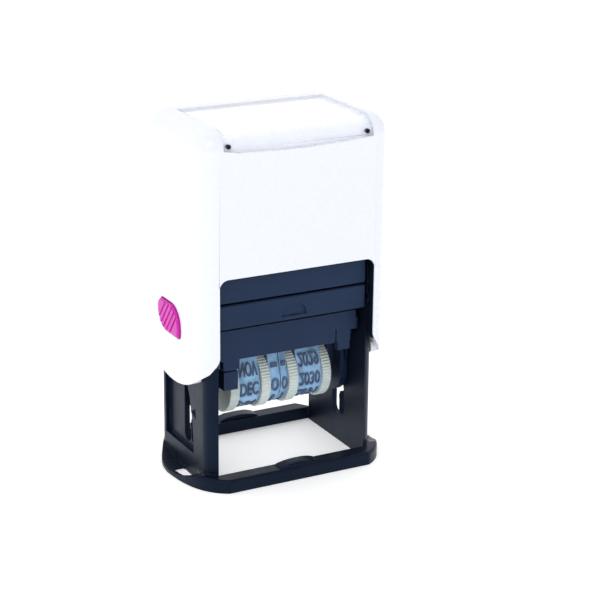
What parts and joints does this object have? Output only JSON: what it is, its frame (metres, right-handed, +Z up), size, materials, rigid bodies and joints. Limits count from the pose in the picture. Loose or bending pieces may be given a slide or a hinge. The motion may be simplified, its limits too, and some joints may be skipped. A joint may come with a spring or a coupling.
{
  "type": "self-inking rotary date stamp",
  "caption": "Self-inking date stamp: a sprung cap slides down over a black frame and flips the date die from the ink pad to the paper; knurled wheels set the date on looped bands.",
  "frame": {"origin": "middle of the base on the table", "axes": "+Z up, -Y towards the front with the cut-out and cartridge mouth, +X to the user's right"},
  "size_m": [0.059, 0.0408, 0.0952],
  "materials": {
    "white_plastic": "gloss",
    "clear_plastic": "gloss",
    "black_plastic": "satin",
    "magenta_plastic": "satin",
    "cream_plastic": "satin",
    "band_rubber": "matte",
    "die_rubber": "matte",
    "black_felt": "matte",
    "red_felt": "matte",
    "card": "matte",
    "spring_steel": "satin",
    "steel": "satin"
  },
  "bodies": {
    "frame": {"base_frame": "black_plastic", "front_fascia": "black_plastic", "back_fascia": "black_plastic", "return_spring": "spring_steel"},
    "cartridge": {"ink_cartridge": "black_plastic", "ink_pad_text": "black_felt", "ink_pad_date": "red_felt"},
    "cap": {"housing": "white_plastic", "index_window": "clear_plastic", "index_card": "card", "spring_post": "white_plastic", "axle_bush_left": "black_plastic", "axle_bush_right": "black_plastic"},
    "carriage": {"carriage": "black_plastic", "text_plate": "black_plastic", "text_die": "die_rubber", "band_bridge": "black_plastic", "wheel_rod": "steel", "axle_pin_left": "steel", "axle_pin_right": "steel", "cam_pin_left": "steel", "cam_pin_right": "steel", "month_band": "band_rubber", "day_tens_band": "band_rubber", "day_units_band": "band_rubber", "year_band": "band_rubber"},
    "lock_left": {"lock_button_left": "magenta_plastic"},
    "lock_right": {"lock_button_right": "magenta_plastic"},
    "month": {"month_wheel": "cream_plastic"},
    "day_tens": {"day_tens_wheel": "cream_plastic"},
    "day_units": {"day_units_wheel": "cream_plastic"},
    "year": {"year_wheel": "cream_plastic"}
  },
  "joints": [
    {"name": "cap_press", "type": "slide", "parent": "frame", "child": "cap", "axis": [0, 0, 1], "range_m": [-0.023, 0], "stiffness_N_per_m": 400, "springref_m": 0.005, "deforming": ["return_spring"]},
    {"name": "carriage_flip", "type": "hinge", "parent": "cap", "child": "carriage", "pos_m": [0, 0, 0.0326], "axis": [1, 0, 0], "range_deg": [0, 180]},
    {"name": "cartridge_slide", "type": "slide", "parent": "frame", "child": "cartridge", "axis": [0, -1, 0], "range_m": [0, 0.028]},
    {"name": "lock_left_push", "type": "slide", "parent": "cap", "child": "lock_left", "axis": [1, 0, 0], "range_m": [0, 0.0012], "stiffness_N_per_m": 600, "springref_m": -0.0006},
    {"name": "lock_right_push", "type": "slide", "parent": "cap", "child": "lock_right", "axis": [-1, 0, 0], "range_m": [0, 0.0012], "stiffness_N_per_m": 600, "springref_m": -0.0006},
    {"name": "month_wheel_turn", "type": "hinge", "parent": "carriage", "child": "month", "pos_m": [0, 0, 0.0226], "axis": [1, 0, 0], "continuous": true},
    {"name": "day_tens_wheel_turn", "type": "hinge", "parent": "carriage", "child": "day_tens", "pos_m": [0, 0, 0.0226], "axis": [1, 0, 0], "continuous": true},
    {"name": "day_units_wheel_turn", "type": "hinge", "parent": "carriage", "child": "day_units", "pos_m": [0, 0, 0.0226], "axis": [1, 0, 0], "continuous": true},
    {"name": "year_wheel_turn", "type": "hinge", "parent": "carriage", "child": "year", "pos_m": [0, 0, 0.0226], "axis": [1, 0, 0], "continuous": true}
  ],
  "couplings": [
    {"joint": "carriage_flip", "follows": "cap_press", "rad_per_m": -136.59}
  ]
}
